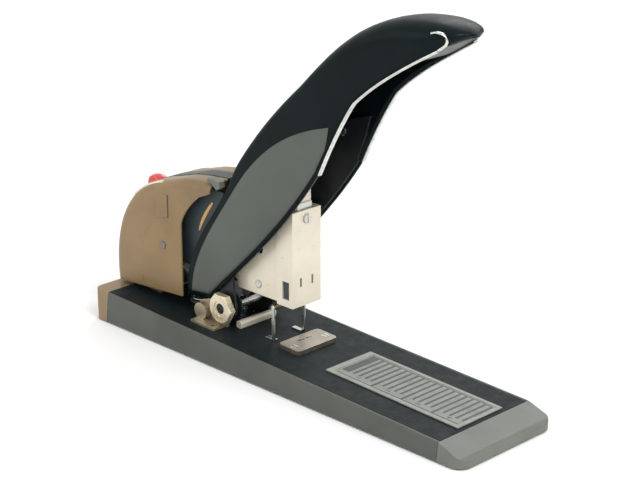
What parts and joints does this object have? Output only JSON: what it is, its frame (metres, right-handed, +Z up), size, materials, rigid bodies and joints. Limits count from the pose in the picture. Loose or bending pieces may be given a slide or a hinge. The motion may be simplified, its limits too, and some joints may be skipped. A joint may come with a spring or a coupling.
{
  "type": "desktop stapler",
  "caption": "Heavy-duty desktop stapler: long wedge base with anvil and paper scale, tilting stapling head with magazine and ram, and a long curved lever handle.",
  "frame": {"origin": "middle of the underside, where the feet meet the desk", "axes": "+X to the front of the base where the paper goes in, +Y to the far side, +Z up"},
  "size_m": [0.33, 0.0838, 0.2468],
  "materials": {
    "rail_grey": "satin moulded plastic",
    "cap_grey": "satin moulded plastic",
    "cap_bronze": "bronze paint",
    "deck_black": "fine grained",
    "sheet_steel": "dark phosphated",
    "rubber": "matt",
    "bright_steel": "zinc plated",
    "spring_steel": "drawn wire",
    "anvil_nickel": "nickel plated, brushed",
    "scale_grey": "satin print",
    "bracket_black": "satin",
    "ear_zinc": "yellow passivated",
    "nut_brass": "yellow passivated",
    "head_cream": "nickel plated, warm satin",
    "cover_bronze": "smoked bronze",
    "spine_black": "satin",
    "shroud_dark": "satin",
    "red_plastic": "glossy",
    "handle_black": "glossy",
    "leaf_grey": "satin",
    "core_bright": "bright"
  },
  "bodies": {
    "base": {"side_rail_near": "rail_grey", "side_rail_far": "rail_grey", "front_end_cap": "cap_grey", "rear_end_cap": "cap_bronze", "deck_plate": "sheet_steel", "deck_mat": "deck_black", "bottom_plate": "sheet_steel", "rubber_feet": "rubber", "base_screws": "bright_steel", "anvil_plate": "anvil_nickel", "anvil_screws": "bright_steel", "scale_plate": "scale_grey", "guide_posts": "bright_steel", "stop_bar": "head_cream", "main_bracket": "bracket_black", "bracket_screws": "bright_steel", "pivot_ear_near": "ear_zinc", "pivot_ear_far": "ear_zinc", "main_axle": "bright_steel", "axle_nut_near": "nut_brass", "axle_nut_far": "nut_brass", "handle_spring_near": "spring_steel", "handle_spring_far": "spring_steel", "rear_hinge_bracket": "sheet_steel", "head_pivot_pin": "bright_steel", "spring_cup": "sheet_steel", "head_lift_spring": "spring_steel"},
    "head": {"head_plate_near": "head_cream", "head_plate_far": "head_cream", "nose_plate": "head_cream", "nose_screw": "bright_steel", "magazine_channel": "sheet_steel", "staple_rail": "bright_steel", "spring_seat": "sheet_steel", "head_spacers": "bright_steel", "head_rivets": "bright_steel", "ram_guides": "sheet_steel", "cover_near": "cover_bronze", "cover_far": "cover_bronze", "shroud_near": "shroud_dark", "shroud_far": "shroud_dark", "cover_spine": "spine_black", "cover_screws": "bright_steel", "handle_stop": "cap_grey"},
    "ram": {"ram_block": "head_cream", "driver_blade": "bright_steel", "roller_pin": "bright_steel", "ram_spring": "spring_steel"},
    "roller": {"ram_roller": "bright_steel"},
    "follower": {"follower_block": "spine_black"},
    "button": {"release_button": "red_plastic"},
    "handle": {"handle_shell": "handle_black", "rim_trim": "core_bright", "arm_near": "bracket_black", "arm_far": "bracket_black", "leaf_panel_near": "leaf_grey", "leaf_panel_far": "leaf_grey", "cam_plate": "bright_steel", "handle_rivets": "bright_steel"}
  },
  "joints": [
    {"name": "handle_press", "type": "hinge", "parent": "base", "child": "handle", "pos_m": [-0.057, 0, 0.032], "axis": [0, 1, 0], "range_deg": [0, 28], "stiffness_Nm_per_rad": 1.5, "springref_deg": -34.38, "deforming": ["handle_spring_near", "handle_spring_far"]},
    {"name": "head_tilt", "type": "hinge", "parent": "base", "child": "head", "pos_m": [-0.15, 0, 0.03], "axis": [0, 1, 0], "range_deg": [0, 8.85], "stiffness_Nm_per_rad": 3, "springref_deg": -17.19, "deforming": ["head_lift_spring"]},
    {"name": "ram_drive", "type": "slide", "parent": "head", "child": "ram", "axis": [0, 0, -1], "range_m": [0, 0.0261], "stiffness_N_per_m": 120, "springref_m": -0.01, "deforming": ["ram_spring"]},
    {"name": "roller_spin", "type": "hinge", "parent": "ram", "child": "roller", "pos_m": [-0.0075, 0, 0.14], "axis": [0, 1, 0], "continuous": true},
    {"name": "follower_slide", "type": "slide", "parent": "head", "child": "follower", "axis": [1, 0, 0], "range_m": [-0.095, 0], "stiffness_N_per_m": 25, "springref_m": 0.05},
    {"name": "release_press", "type": "slide", "parent": "head", "child": "button", "axis": [0, 0, -1], "range_m": [0, 0.003], "stiffness_N_per_m": 400, "springref_m": -0.003}
  ],
  "couplings": [
    {"joint": "head_tilt", "follows": "handle_press", "ratio": 0.31429},
    {"joint": "ram_drive", "follows": "handle_press", "m_per_rad": 0.053203}
  ]
}
